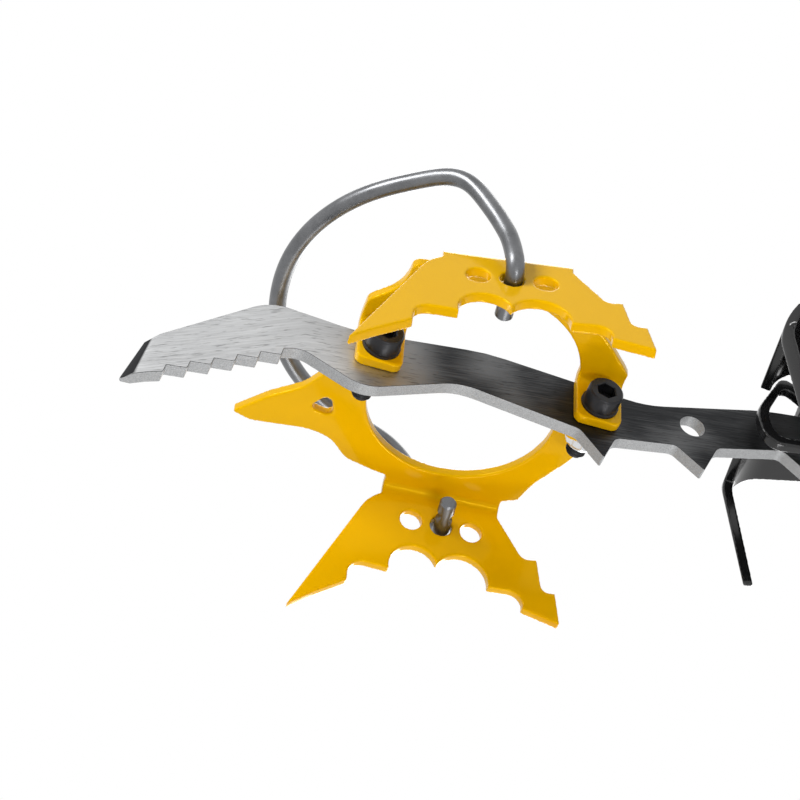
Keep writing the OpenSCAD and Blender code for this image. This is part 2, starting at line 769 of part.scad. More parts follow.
// Flanged bushes in the ears
module bail_bushes() {
    color(zinc)
        heel_axes()
            both_sides()
                translate([ear_x, heel_half - heel_t, heel_pivot_h])
                    rotate([-90, 0, 0])
                        difference() {
                            union() {
                                cylinder(r = bush_r, h = heel_t);
                                translate([0, 0, -1.2]) cylinder(r = bush_r + 1.2, h = 1.2);
                            }
                            translate([0, 0, -2]) cylinder(r = wire_r + pin_gap, h = heel_t + 4);
                        }
}

// Axes of the heel bail: origin at its pivot, X along its legs
module bail_axes() {
    heel_axes()
        translate([ear_x, 0, heel_pivot_h])
            rotate([0, heel_bail_droop, 0]) children();
}

// Heel bail: pins in the bushes, legs back, and a straight cross bar for the clip
module heel_bail() {
    y = heel_leg_y;
    l = heel_bail_len;
    bar_y = lever_w / 2 + 2;
    half = [[0, y - pin_bend - 1, 0], [0, y, 0], [l * 0.5, y, 0], [l, bar_y + 5, 0], [l, bar_y - 1, 0]];
    color(dark_steel)
        bail_axes() {
            both_sides() {
                pin_y(heel_half - heel_t - 4, y - pin_bend, wire_r);
                tube(wire_points(half, [0, pin_bend, 20, 4, 0]), wire_r * 0.998, 20);
            }
            translate([l, 0, 0]) pin_y(-bar_y, bar_y, wire_r);
        }
}

// Axes of the clip, folded in between the legs of the bail; X runs from the cross bar to the lever's end
module clip_axes() {
    bail_axes()
        translate([heel_bail_len, 0, 0])
            rotate([0, 0, 180]) children();
}

// Barrel that turns on the cross bar, with the threaded rod of the length adjuster
module clip_barrel() {
    color(zinc)
        clip_axes()
            difference() {
                union() {
                    pin_y(-barrel_half, barrel_half, barrel_r);
                    rotate([0, 90, 0]) cylinder(r = thread_r, h = wheel_x + 14);
                }
                pin_y(-barrel_half - 1, barrel_half + 1, wire_r + pin_gap);
            }
}

module heel_lever() {
    room = barrel_r + clip_travel + 0.5;
    slot = wire_r + clip_travel + 0.5;
    color("#232427")
        clip_axes()
            difference() {
                rotate([90, 0, 0])
                    linear_extrude(lever_w, center = true)
                        outline([[-room - 3, -lever_t / 2, 2], [lever_len * 0.7, -lever_t / 2, 20],
                            [lever_len, 2 - lever_t / 2, 2.5], [lever_len, lever_t / 2 + 3, 3],
                            [lever_len * 0.7, lever_t / 2, 20], [-room - 3, lever_t / 2, 5]]);
                translate([-room, -barrel_half - 0.4, -lever_t])
                    cube([2 * room, 2 * barrel_half + 0.8, 2 * lever_t]);
                translate([-slot, -lever_w, -wire_r - 0.4])
                    cube([2 * slot, 2 * lever_w, wire_d + 0.8]);
                translate([wheel_x - wheel_w / 2 - 0.3, -wheel_d / 2 - 0.5, -lever_t])
                    cube([wheel_w + 0.6, wheel_d + 1, 2 * lever_t]);
                rotate([0, 90, 0]) cylinder(r = thread_r + 0.4, h = wheel_x + 14 + clip_travel + 1);
                hook_rivet_places() cylinder(r = 1.55, h = lever_t);
            }
}

module thumb_wheel() {
    ribs = 18;
    color(zinc)
        clip_axes()
            translate([wheel_x - wheel_w / 2, 0, 0])
                rotate([0, 90, 0])
                    difference() {
                        cylinder(d = wheel_d, h = wheel_w);
                        for (i = [0:ribs - 1])
                            rotate([0, 0, 360 / ribs * i])
                                translate([wheel_d / 2 + 0.2, 0, -cut]) cylinder(r = 0.9, h = wheel_w + 2 * cut);
                        translate([0, 0, -cut]) cylinder(r = thread_r + pin_gap, h = wheel_w + 2 * cut);
                    }
}

// Claw that bites in the groove of the boot's heel, riveted under the lever
module hook_rivet_places() {
    for (side = [-1, 1])
        translate([barrel_r + clip_travel + 8.5, side * (lever_w / 2 - 4), -lever_t / 2]) children();
}

module welt_hook() {
    claw = barrel_r + clip_travel + 3.5;
    t = 2;
    color(dark_steel)
        clip_axes()
            difference() {
                rotate([90, 0, 0])
                    linear_extrude(lever_w - 2, center = true)
                        outline([[21, -lever_t / 2, 0], [-claw + 4, -lever_t / 2, 0],
                            [-claw - 4, -lever_t / 2 - 9, 0.5], [-claw - 1.6, -lever_t / 2 - 9.6, 0.5],
                            [-claw + 5, -lever_t / 2 - t, 1.5],
                            [21, -lever_t / 2 - t, 0.8]]);
                translate([-barrel_r - clip_travel - 0.5, -barrel_half - 0.4, -lever_t])
                    cube([2 * (barrel_r + clip_travel + 0.5), 2 * barrel_half + 0.8, 2 * lever_t]);
                hook_rivet_places() translate([0, 0, -t - cut]) cylinder(r = 1.55, h = t + 2 * cut);
            }
}

module hook_rivets() {
    color(zinc)
        clip_axes()
            hook_rivet_places() {
                translate([0, 0, -2]) cylinder(r = 1.5, h = 8);
                translate([0, 0, -3.2]) cylinder(r = 2.6, h = 1.2);
            }
}

main_bar();
left_toe_frame();
right_toe_frame();
clamp_screws();
clamp_nuts();
toe_bail();
heel_frame();
slider_block();
slider_screws();
lever_guard();
lock_lever();
lock_pivot();
lock_spring();
bar_end_rivet();
bail_bushes();
heel_bail();
clip_barrel();
heel_lever();
thumb_wheel();
welt_hook();
hook_rivets();
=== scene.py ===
"""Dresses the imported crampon: finishes, soft edges, bent wires, threaded fasteners and a plain studio."""

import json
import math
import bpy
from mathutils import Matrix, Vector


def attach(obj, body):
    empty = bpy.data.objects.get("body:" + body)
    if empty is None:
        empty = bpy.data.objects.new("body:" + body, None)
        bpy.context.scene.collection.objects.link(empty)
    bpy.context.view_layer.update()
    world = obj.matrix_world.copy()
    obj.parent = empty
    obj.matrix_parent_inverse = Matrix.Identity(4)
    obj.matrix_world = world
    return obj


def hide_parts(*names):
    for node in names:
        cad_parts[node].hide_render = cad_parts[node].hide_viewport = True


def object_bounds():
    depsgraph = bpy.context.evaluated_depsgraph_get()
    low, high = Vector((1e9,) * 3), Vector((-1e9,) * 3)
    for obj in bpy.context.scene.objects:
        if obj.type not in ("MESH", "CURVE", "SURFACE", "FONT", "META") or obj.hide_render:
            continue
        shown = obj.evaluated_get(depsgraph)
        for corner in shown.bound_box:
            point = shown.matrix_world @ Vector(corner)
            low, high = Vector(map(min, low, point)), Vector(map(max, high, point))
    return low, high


bl_info = {
    "name": "Monopoint crampon finishes",
    "version": (1, 0, 0),
    "blender": (4, 5, 0),
    "location": "3D View > Sidebar > Crampon",
    "description": "Finishes, bent wires, threaded fasteners and a plain studio for a monopoint crampon",
    "category": "Object",
}

import bmesh
import bpy
from mathutils import Euler, Matrix, Vector

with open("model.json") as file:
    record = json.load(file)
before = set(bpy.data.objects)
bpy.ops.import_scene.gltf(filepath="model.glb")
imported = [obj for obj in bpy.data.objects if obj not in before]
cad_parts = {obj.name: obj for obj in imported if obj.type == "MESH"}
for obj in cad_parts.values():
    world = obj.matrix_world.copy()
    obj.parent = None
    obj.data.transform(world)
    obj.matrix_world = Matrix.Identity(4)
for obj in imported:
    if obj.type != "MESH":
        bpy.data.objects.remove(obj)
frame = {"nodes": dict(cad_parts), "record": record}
CAD_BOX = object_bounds()
RECORD = frame["record"]

MM = 0.001
WHITE = (1.0, 1.0, 1.0, 1.0)
# points round a screw or nut, and round a wire
SIDES = 48
WIRE_SIDES = 36
# a point this close to a ring of a wire's pin belongs to that ring
NEAR = 0.05 * MM
# edges that turn by more degrees stay sharp, on copies of CAD nodes, on eased copies and on meshes made here
CAD_CREASE, EASED_CREASE, MADE_CREASE = 30, 50, 32
# nearly all values of one noise texture lie in the first span, and of two added together in the second
NOISE_SPAN = {"From Min": 0.3, "From Max": 0.7}
TWO_NOISE_SPAN = {"From Min": 0.7, "From Max": 1.3}
# sockets of the Mix node, which has the same names for numbers and for colours
NUMBER_A, NUMBER_B, COLOUR_A, COLOUR_B = 2, 3, 6, 7
COLOUR_OUT = 2


def linear(code):
    """A linear colour from an sRGB hex value."""
    channels = [int(code[i:i + 2], 16) / 255 for i in (1, 3, 5)]
    return (*[c / 12.92 if c <= 0.04045 else ((c + 0.055) / 1.055) ** 2.4 for c in channels], 1.0)


def colour_prop(name, description, code):
    """A colour that the user can change."""
    return bpy.props.FloatVectorProperty(name=name, description=description, subtype="COLOR", size=4,
                                         min=0.0, max=1.0, default=linear(code))


def length_prop(name, description, millimetres):
    """A length that the user can change."""
    return bpy.props.FloatProperty(name=name, description=description, subtype="DISTANCE", unit="LENGTH",
                                   min=0.0, precision=5, default=millimetres * MM)


def power_prop(name, description, watts):
    """The power of a lamp, which the user can change."""
    return bpy.props.FloatProperty(name=name, description=description, unit="POWER", min=0.0, default=watts)


class CramponFinish(bpy.types.PropertyGroup):
    """Colours and surface sizes of the finishes."""

    coat: colour_prop("Powder coat", "Colour of the two toe frames", "#EFB800")
    gleam: colour_prop("Coat gloss", "Tint of the gloss on the two toe frames", "#FFD52E")
    ground: colour_prop("Ground steel", "Colour of the ground front point", "#CACBCC")
    dark: colour_prop("Hardened steel", "Colour of the bar behind the front point", "#27282A")
    sheared: colour_prop("Cut edge", "Colour of the bar's cut edges", "#A6A7A8")
    # painted shade: the bevel behind the chisel edge is given a dark colour that stands in for the dim
    # reflection of its slanted facet
    bevel: colour_prop("Bevel shade", "Colour of the bevel behind the chisel edge", "#232426")
    wire: colour_prop("Spring steel", "Colour of the wire bails, the lock lever and the claw", "#6E6F71")
    oxide: colour_prop("Black oxide", "Colour of the clamp screws and the bar's end stop", "#212124")
    zinc: colour_prop("Zinc plate", "Colour of the clamp nuts and the heel's small metal pieces", "#D6D8DA")
    black: colour_prop("Black coat", "Colour of the heel frame and guard", "#0B0B0C")
    nylon: colour_prop("Nylon", "Colour of the slider block and heel lever", "#161617")
    peel: length_prop("Orange peel", "Width of the waves in the coats", 1.6)
    brush: length_prop("Brush lines", "Spacing of the grinding lines on the bar", 0.32)
    grain: length_prop("Edge grain", "Grain of the cut edges", 0.3)


class CramponFasteners(bpy.types.PropertyGroup):
    """Sizes of the clamp screws and nuts that the CAD model leaves plain."""

    pitch: length_prop("Thread pitch", "Pitch of the screw threads", 1.0)
    depth: length_prop("Thread depth", "Depth of the screw threads", 0.55)
    chamfer: length_prop("Head chamfer", "Chamfer round the socket heads", 0.5)


class CramponWire(bpy.types.PropertyGroup):
    """Sizes of the bent wire bails."""

    thick: length_prop("Wire", "Diameter of the bail wire", 5.0)
    reach: length_prop("Reach", "How far the toe bail reaches ahead of its pins", 58.5)
    loop: length_prop("Loop", "Bend radius of the toe bail's loop", 50.0)
    pin: length_prop("Pin", "Straight length of the toe bail's pins", 12.5)


class CramponStage(bpy.types.PropertyGroup):
    """Light and floor of the studio."""

    floor: colour_prop("Floor", "Colour of the floor", "#F2F2F1")
    key: power_prop("Key light", "Power of the light ahead of the toe", 10.5)
    fill: power_prop("Fill light", "Power of each lamp below, from which the upper ones are set", 2.0)
    ambient: bpy.props.FloatProperty(name="Ambient", description="Strength of the even light", default=0.14,
                                     min=0.0, max=2.0)


def add(tree, kind, inputs=None, **settings):
    """Adds one node, with its settings, and values or links for its inputs."""
    node = tree.nodes.new(kind)
    for key, value in settings.items():
        setattr(node, key, value)
    for key, value in (inputs or {}).items():
        if isinstance(value, bpy.types.NodeSocket):
            tree.links.new(value, node.inputs[key])
        else:
            node.inputs[key].default_value = value
    return node


def new_material(name):
    """An empty node material with its Principled shader already on the output."""
    material = bpy.data.materials.new(name)
    material.use_nodes = True
    tree = material.node_tree
    tree.nodes.clear()
    shader = add(tree, "ShaderNodeBsdfPrincipled")
    add(tree, "ShaderNodeOutputMaterial", {"Surface": shader.outputs[0]}, name="Surface")
    return material, tree, shader


def shade(colour, factor):
    """The same colour, lighter or darker."""
    return (*[min(1.0, c * factor) for c in colour[:3]], 1.0)


def powder_coat(name, colour, gleam, roughness, peel, variation):
    """A baked coat: a smooth glossy skin with soft waves and slight changes of colour."""
    cloud_width, wave_height = 28 * MM, 0.05 * MM
    material, tree, shader = new_material(name)
    place = add(tree, "ShaderNodeTexCoord").outputs["Object"]
    peeled = add(tree, "ShaderNodeTexNoise", {"Vector": place, "Scale": 1 / peel, "Detail": 1.0})
    waves = peeled.outputs["Fac"]
    cloud = add(tree, "ShaderNodeTexNoise", {"Vector": place, "Scale": 1 / cloud_width, "Detail": 3.0})
    tint = add(tree, "ShaderNodeMix", {"Factor": cloud.outputs["Fac"], COLOUR_A: shade(colour, 1 - variation),
                                       COLOUR_B: shade(colour, 1 + variation)}, data_type="RGBA")
    gloss = add(tree, "ShaderNodeMapRange", {"Value": waves, "To Min": 0.8 * roughness,
                                             "To Max": 1.25 * roughness})
    skin = add(tree, "ShaderNodeBump", {"Height": waves, "Strength": 0.05, "Distance": wave_height})
    tree.links.new(tint.outputs[COLOUR_OUT], shader.inputs["Base Color"])
    tree.links.new(gloss.outputs[0], shader.inputs["Roughness"])
    tree.links.new(skin.outputs[0], shader.inputs["Normal"])
    shader.inputs["IOR"].default_value = 1.5
    # real gloss has no colour; a tint here keeps the white surround from washing the coat's colour out
    shader.inputs["Specular Tint"].default_value = gleam
    return material


def bar_steel(name, finish):
    """Hardened chromoly plate: ground bright on the point, dark behind it, grainy on its cut edges."""
    tip_x, hump_x, dark_x, tip_drop = -160 * MM, -112 * MM, -66 * MM, 17 * MM
    patch_width, relief_height = 22 * MM, 0.02 * MM
    # lines per metre along, through and across the bar, drawn coarser than real grinding so that they show
    brush_lines = (85.0, 300.0, 1 / finish.brush)
    score_lines = (240.0, 300.0, 2100.0)
    material, tree, shader = new_material(name)
    coords = add(tree, "ShaderNodeTexCoord").outputs
    x, y, z = add(tree, "ShaderNodeSeparateXYZ", {0: coords["Object"]}).outputs
    facing = add(tree, "ShaderNodeSeparateXYZ", {0: coords["Normal"]}).outputs["Y"]
    side = add(tree, "ShaderNodeMath", {0: facing}, operation="ABSOLUTE").outputs[0]
    # the grinding lines fall with the point ahead of the hump, and run along the bar behind it
    fall = add(tree, "ShaderNodeMapRange", {"Value": x, "From Min": tip_x, "From Max": hump_x,
                                            "To Min": -tip_drop, "To Max": 0.0})
    across = add(tree, "ShaderNodeMath", {0: z, 1: fall.outputs[0]}, operation="SUBTRACT")
    along = add(tree, "ShaderNodeCombineXYZ", {"X": x, "Y": y, "Z": across.outputs[0]}).outputs[0]
    lines = add(tree, "ShaderNodeMapping", {"Vector": along, "Scale": brush_lines})
    brush = add(tree, "ShaderNodeTexNoise", {"Vector": lines.outputs[0], "Scale": 1.0, "Detail": 5.0,
                                             "Roughness": 0.62}).outputs["Fac"]
    streak = add(tree, "ShaderNodeMapRange", {"Value": brush, **NOISE_SPAN, "To Min": 0.74, "To Max": 1.14})
    deep_lines = add(tree, "ShaderNodeMapping", {"Vector": along, "Scale": score_lines})
    scores = add(tree, "ShaderNodeTexNoise", {"Vector": deep_lines.outputs[0], "Scale": 1.0, "Detail": 2.0})
    score = add(tree, "ShaderNodeMapRange", {"Value": scores.outputs["Fac"], "From Min": 0.30,
                                             "From Max": 0.41, "To Min": 0.58, "To Max": 1.0})
    worn = add(tree, "ShaderNodeMath", {0: streak.outputs[0], 1: score.outputs[0]}, operation="MULTIPLY")
    # the grinding runs out into the dark hardened skin in strands and rubbed patches
    behind = add(tree, "ShaderNodeMapRange", {"Value": x, "From Min": hump_x, "From Max": dark_x},
                 interpolation_type="SMOOTHSTEP")
    stray = add(tree, "ShaderNodeMapRange", {"Value": brush, **NOISE_SPAN, "To Min": -0.08, "To Max": 0.08})
    fade = add(tree, "ShaderNodeMath", {0: behind.outputs[0], 1: stray.outputs[0]}, operation="ADD")
    patches = add(tree, "ShaderNodeTexNoise", {"Vector": along, "Scale": 1 / patch_width, "Detail": 1.0})
    rubbed = add(tree, "ShaderNodeMapRange", {"Value": patches.outputs["Fac"], "From Min": 0.45,
                                              "From Max": 0.75, "To Min": 0.0, "To Max": 0.2})
    hard = add(tree, "ShaderNodeMath", {0: fade.outputs[0], 1: rubbed.outputs[0]}, operation="SUBTRACT",
               use_clamp=True)
    base = add(tree, "ShaderNodeMix", {"Factor": hard.outputs[0], COLOUR_A: finish.ground,
                                       COLOUR_B: finish.dark}, data_type="RGBA")
    lined = add(tree, "ShaderNodeVectorMath", {0: base.outputs[COLOUR_OUT], 1: worn.outputs[0]},
                operation="MULTIPLY")
    # sheared edges show a coarse grain, and the ground bevel of the point gets a painted shade: a dark
    # colour, picked out by the way its facet faces
    grit = add(tree, "ShaderNodeTexNoise", {"Vector": coords["Object"], "Scale": 1 / finish.grain,
                                            "Detail": 3.0, "Roughness": 0.7}).outputs["Fac"]
    speck = add(tree, "ShaderNodeMapRange", {"Value": grit, **NOISE_SPAN, "To Min": 0.62, "To Max": 1.28})
    edge = add(tree, "ShaderNodeVectorMath", {0: finish.sheared[:3], 1: speck.outputs[0]},
               operation="MULTIPLY")
    flat = add(tree, "ShaderNodeMapRange", {"Value": side, "From Min": 0.55, "From Max": 0.65}).outputs[0]
    # painted shade: faces slanted between the flats and the cut edges take the dark bevel colour
    level = add(tree, "ShaderNodeMapRange", {"Value": side, "From Min": 0.93, "From Max": 0.96})
    bevel = add(tree, "ShaderNodeMix", {"Factor": level.outputs[0], COLOUR_A: finish.bevel,
                                        COLOUR_B: lined.outputs[0]}, data_type="RGBA")
    colour = add(tree, "ShaderNodeMix", {"Factor": flat, COLOUR_A: edge.outputs[0],
                                         COLOUR_B: bevel.outputs[COLOUR_OUT]}, data_type="RGBA")
    sheen = add(tree, "ShaderNodeMapRange", {"Value": brush, **NOISE_SPAN, "To Min": 0.30, "To Max": 0.48})
    rough = add(tree, "ShaderNodeMix", {"Factor": flat, NUMBER_A: 0.62, NUMBER_B: sheen.outputs[0]})
    relief = add(tree, "ShaderNodeMix", {"Factor": flat, NUMBER_A: grit, NUMBER_B: brush})
    bump = add(tree, "ShaderNodeBump", {"Height": relief.outputs[0], "Strength": 0.25,
                                        "Distance": relief_height})
    tree.links.new(colour.outputs[COLOUR_OUT], shader.inputs["Base Color"])
    tree.links.new(rough.outputs[0], shader.inputs["Roughness"])
    tree.links.new(bump.outputs[0], shader.inputs["Normal"])
    shader.inputs["Metallic"].default_value = 0.9
    return material


def grained(name, colour, metallic, roughness, grain, contrast, relief):
    """A surface whose grain shows as fine specks in its colour, gloss and relief."""
    broad_grain, relief_height = 14 * grain, 0.04 * MM
    material, tree, shader = new_material(name)
    place = add(tree, "ShaderNodeTexCoord").outputs["Object"]
    fine = add(tree, "ShaderNodeTexNoise", {"Vector": place, "Scale": 1 / grain, "Detail": 3.0,
                                            "Roughness": 0.65}).outputs["Fac"]
    broad = add(tree, "ShaderNodeTexNoise", {"Vector": place, "Scale": 1 / broad_grain, "Detail": 2.0})
    both = add(tree, "ShaderNodeMath", {0: fine, 1: broad.outputs["Fac"]}, operation="ADD").outputs[0]
    speck = add(tree, "ShaderNodeMapRange", {"Value": both, **TWO_NOISE_SPAN, "To Min": 1 - contrast,
                                             "To Max": 1 + contrast})
    tint = add(tree, "ShaderNodeVectorMath", {0: colour[:3], 1: speck.outputs[0]}, operation="MULTIPLY")
    gloss = add(tree, "ShaderNodeMapRange", {"Value": both, **TWO_NOISE_SPAN, "To Min": 0.8 * roughness,
                                             "To Max": 1.2 * roughness})
    bump = add(tree, "ShaderNodeBump", {"Height": fine, "Strength": relief, "Distance": relief_height})
    tree.links.new(tint.outputs[0], shader.inputs["Base Color"])
    tree.links.new(gloss.outputs[0], shader.inputs["Roughness"])
    tree.links.new(bump.outputs[0], shader.inputs["Normal"])
    shader.inputs["Metallic"].default_value = metallic
    return material


def finish_of(slot):
    """The finished material of one of the record's slots, made once.

    The grains of the metals and the nylon are drawn coarser than the real ones, so that they show.
    """
    finish = bpy.context.scene.crampon_finish
    makers = {
        # polyester powder, sprayed and baked: an even, deep, glossy yellow that runs soft over every edge
        "yellow_coat": ("yellow_powder_coat", lambda name: powder_coat(
            name, finish.coat, finish.gleam, roughness=0.1, peel=finish.peel, variation=0.04)),
        # paint laid on in a bath and baked: a black skin, a little duller than powder and less even
        "black_coat": ("black_electro_coat", lambda name: powder_coat(
            name, finish.black, WHITE, roughness=0.16, peel=finish.peel, variation=0.15)),
        # hardened, then ground along its length on the point: bright lines that run out into a dark skin
        "bar_steel": ("hardened_chromoly_steel", lambda name: bar_steel(name, finish)),
        # drawn and tempered: a dull grey with the faint specks of scale
        "wire_steel": ("spring_steel_wire", lambda name: grained(
            name, finish.wire, metallic=1.0, roughness=0.34, grain=0.35 * MM, contrast=0.2, relief=0.25)),
        # blackened in a hot salt bath and oiled: a dark satin with uneven depth
        "black_oxide": ("black_oxide_steel", lambda name: grained(
            name, finish.oxide, metallic=0.5, roughness=0.36, grain=0.3 * MM, contrast=0.3, relief=0.35)),
        # plated bright: a pale, shiny metal with a slight haze
        "zinc_plate": ("zinc_plated_steel", lambda name: grained(
            name, finish.zinc, metallic=1.0, roughness=0.22, grain=0.5 * MM, contrast=0.06, relief=0.1)),
        # moulded in a spark-eroded tool: matt black with a fine texture
        "black_nylon": ("moulded_black_nylon", lambda name: grained(
            name, finish.nylon, metallic=0.0, roughness=0.5, grain=0.4 * MM, contrast=0.12, relief=0.3)),
    }
    name, make = makers[slot]
    return bpy.data.materials.get(name) or make(name)


def slot_of_node(node):
    """The record's material slot of a CAD node."""
    return next(s["material_slot"] for s in RECORD["subparts"] if s["node"] == node)


def piece(name, mesh, node):
    """Links a finished mesh as a piece that stands for a CAD node, on the same body."""
    slot = slot_of_node(node)
    body = next(b for b, members in RECORD["behaviour"]["bodies"].items() if node in members)
    mesh.materials.clear()
    mesh.materials.append(finish_of(slot))
    obj = bpy.data.objects.new(name, mesh)
    bpy.context.scene.collection.objects.link(obj)
    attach(obj, body)
    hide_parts(node)
    return obj


def welded(node):
    """A working copy of a CAD node's mesh with its loose triangles joined."""
    join, sliver = 0.004 * MM, 0.002 * MM
    work = bmesh.new()
    work.from_mesh(frame["nodes"][node].data)
    for layer in list(work.loops.layers.float_vector.keys()):
        work.loops.layers.float_vector.remove(work.loops.layers.float_vector[layer])
    bmesh.ops.remove_doubles(work, verts=work.verts, dist=join)
    bmesh.ops.dissolve_degenerate(work, edges=work.edges, dist=sliver)
    return work


def smoothed(work, mesh, crease):
    """The mesh filled from a working copy, smooth except over edges that turn by more than the crease."""
    work.to_mesh(mesh)
    work.free()
    mesh.shade_smooth()
    mesh.set_sharp_from_angle(angle=math.radians(crease))
    return mesh


def evaluated_mesh(maker):
    """The plain mesh of an object with its modifiers applied."""
    return bpy.data.meshes.new_from_object(maker.evaluated_get(bpy.context.evaluated_depsgraph_get()))


def flowed_piece(node, grid, passes, share):
    """A copy of a CAD node with the soft edges of a coating or a moulding, which flows round every corner."""
    work = welded(node)
    mesh = bpy.data.meshes.new(node + "_flowed")
    work.to_mesh(mesh)
    work.free()
    # turned off the grid's axes while it is remade, so that no long edge comes out wavy
    turn = Euler((0.5, 0.7, 0.9)).to_matrix().to_4x4()
    mesh.transform(turn)
    maker = bpy.data.objects.new(node + "_maker", mesh)
    bpy.context.scene.collection.objects.link(maker)
    skin = maker.modifiers.new("Skin", "REMESH")
    skin.mode, skin.voxel_size, skin.use_smooth_shade = "VOXEL", grid, True
    flow = maker.modifiers.new("Flow", "SMOOTH")
    flow.factor, flow.iterations = 0.5, passes
    maker.modifiers.new("Thin", "DECIMATE").ratio = share
    made = evaluated_mesh(maker)
    bpy.data.objects.remove(maker)
    made.transform(turn.inverted())
    made.shade_smooth()
    obj = piece(node + "_finished", made, node)
    obj.modifiers.new("Flat faces", "WEIGHTED_NORMAL").weight = 80


def smooth_piece(node):
    """A copy of a CAD node with joined facets and smooth curved faces."""
    mesh = bpy.data.meshes.new(node + "_finished")
    piece(node + "_finished", smoothed(welded(node), mesh, CAD_CREASE), node)


def eased_piece(node, ease):
    """A copy of a CAD node whose sharp edges are rounded over a small width."""
    flat, sharp = math.radians(0.8), math.radians(40)
    work = welded(node)
    bmesh.ops.dissolve_limit(work, angle_limit=flat, verts=work.verts, edges=work.edges)
    edges = [e for e in work.edges if len(e.link_faces) == 2 and e.calc_face_angle() > sharp]
    bmesh.ops.bevel(work, geom=edges, offset=ease, offset_type="OFFSET", segments=2, profile=0.5,
                    affect="EDGES", clamp_overlap=False)
    bmesh.ops.triangulate(work, faces=[f for f in work.faces if len(f.verts) > 4])
    mesh = bpy.data.meshes.new(node + "_finished")
    obj = piece(node + "_finished", smoothed(work, mesh, EASED_CREASE), node)
    obj.modifiers.new("Flat faces", "WEIGHTED_NORMAL").keep_sharp = True


def rim_point(i, radius, y):
    """One of the points of a ring round the Y axis."""
    turn = 2 * math.pi * i / SIDES
    return Vector((radius * math.cos(turn), y, radius * math.sin(turn)))


def circle(radius, y):
    """A round ring of points."""
    return [rim_point(i, radius, y) for i in range(SIDES)]


def hexagon(flats, y):
    """A ring of points on a hexagon, given across its flats."""
    sixth = math.pi / 3
    offs = [(2 * math.pi * i / SIDES + sixth / 2) % sixth - sixth / 2 for i in range(SIDES)]
    return [rim_point(i, flats / 2 / math.cos(off), y) for i, off in enumerate(offs)]


def threaded(radius, depth, pitch, y):
    """One ring of a screw thread: the radius falls and rises once round the turn."""
    phases = [(y / pitch - i / SIDES) % 1.0 for i in range(SIDES)]
    return [rim_point(i, radius - depth * (1 - abs(2 * phase - 1)), y) for i, phase in enumerate(phases)]


def skinned(name, rings):
    """A closed mesh over rings of points, capped at both ends."""
    work = bmesh.new()
    loops = [[work.verts.new(p) for p in ring] for ring in rings]
    for a, b in zip(loops, loops[1:]):
        for i in range(SIDES):
            j = (i + 1) % SIDES
            work.faces.new((a[i], a[j], b[j], b[i]))
    work.faces.new(loops[0])
    work.faces.new(list(reversed(loops[-1])))
    bmesh.ops.recalc_face_normals(work, faces=work.faces)
    return smoothed(work, bpy.data.meshes.new(name), MADE_CREASE)


def new_tree(name, inputs, output):
    """An empty node tree with named inputs and one geometry output."""
    tree = bpy.data.node_groups.new(name, "GeometryNodeTree")
    for label, kind in inputs.items():
        tree.interface.new_socket(label, in_out="INPUT", socket_type="NodeSocket" + kind)
    tree.interface.new_socket(output, in_out="OUTPUT", socket_type="NodeSocketGeometry")
    return tree


def row_tree():
    """Node tree that repeats the modifier's own mesh along a line of points."""
    tree = new_tree("Fasteners in a row", {"Fastener": "Geometry", "First": "Vector", "Step": "Vector",
                                           "Count": "Int", "Finish": "Material"}, "Fasteners")
    given = add(tree, "NodeGroupInput").outputs
    line = add(tree, "GeometryNodeMeshLine", {"Count": given["Count"], "Start Location": given["First"],
                                              "Offset": given["Step"]}, mode="OFFSET")
    copies = add(tree, "GeometryNodeInstanceOnPoints", {"Points": line.outputs[0],
                                                        "Instance": given["Fastener"]})
    real = add(tree, "GeometryNodeRealizeInstances", {0: copies.outputs[0]})
    finished = add(tree, "GeometryNodeSetMaterial", {"Geometry": real.outputs[0],
                                                     "Material": given["Finish"]})
    add(tree, "NodeGroupOutput", {0: finished.outputs[0]})
    return tree


def wire_tree():
    """Node tree that draws a round wire along the modifier's own line of points."""
    tree = new_tree("Bent wire", {"Route": "Geometry", "Radius": "Float", "Sides": "Int",
                                  "Finish": "Material"}, "Wire")
    given = add(tree, "NodeGroupInput").outputs
    line = add(tree, "GeometryNodeMeshToCurve", {"Mesh": given["Route"]})
    ring = add(tree, "GeometryNodeCurvePrimitiveCircle", {"Resolution": given["Sides"],
                                                          "Radius": given["Radius"]})
    tube = add(tree, "GeometryNodeCurveToMesh", {"Curve": line.outputs[0], "Profile Curve": ring.outputs[0],
                                                 "Fill Caps": True})
    real = add(tree, "GeometryNodeRealizeInstances", {0: tube.outputs[0]})
    finished = add(tree, "GeometryNodeSetMaterial", {"Geometry": real.outputs[0],
                                                     "Material": given["Finish"]})
    add(tree, "NodeGroupOutput", {0: finished.outputs[0]})
    return tree


def grown(name, mesh, tree, values):
    """The plain mesh that a node tree makes from a mesh, with the tree's inputs given by name."""
    maker = bpy.data.objects.new(name + "_maker", mesh)
    bpy.context.scene.collection.objects.link(maker)
    modifier = maker.modifiers.new("Tree", "NODES")
    modifier.node_group = tree
    for item in tree.interface.items_tree:
        if item.in_out == "INPUT" and item.name in values:
            modifier[item.identifier] = values[item.name]
    made = evaluated_mesh(maker)
    made.name = name
    maker.modifiers.remove(modifier)
    bpy.data.objects.remove(maker)
    return made


def solid_boxes(node):
    """Lowest and highest corner of each of a node's two solids, which stand apart along X."""
    points = sorted((v.co for v in frame["nodes"][node].data.vertices), key=lambda p: p.x)
    split = max(range(1, len(points)), key=lambda i: points[i].x - points[i - 1].x)
    boxes = []
    for group in (points[:split], points[split:]):
        low = Vector([min(p[k] for p in group) for k in range(3)])
        high = Vector([max(p[k] for p in group) for k in range(3)])
        boxes.append((low, high))
    return boxes


def fastener_row(name, mesh, node, tree):
    """Stands two copies of a fastener mesh where a CAD node has its two solids."""
    (low_a, high_a), (low_b, high_b) = solid_boxes(node)
    first = (low_a + high_a) / 2
    step = (low_b + high_b) / 2 - first
    first.y = low_a.y
    values = {"First": first, "Step": step, "Count": 2, "Finish": finish_of(slot_of_node(node))}
    piece(name, grown(name, mesh, tree, values), node)


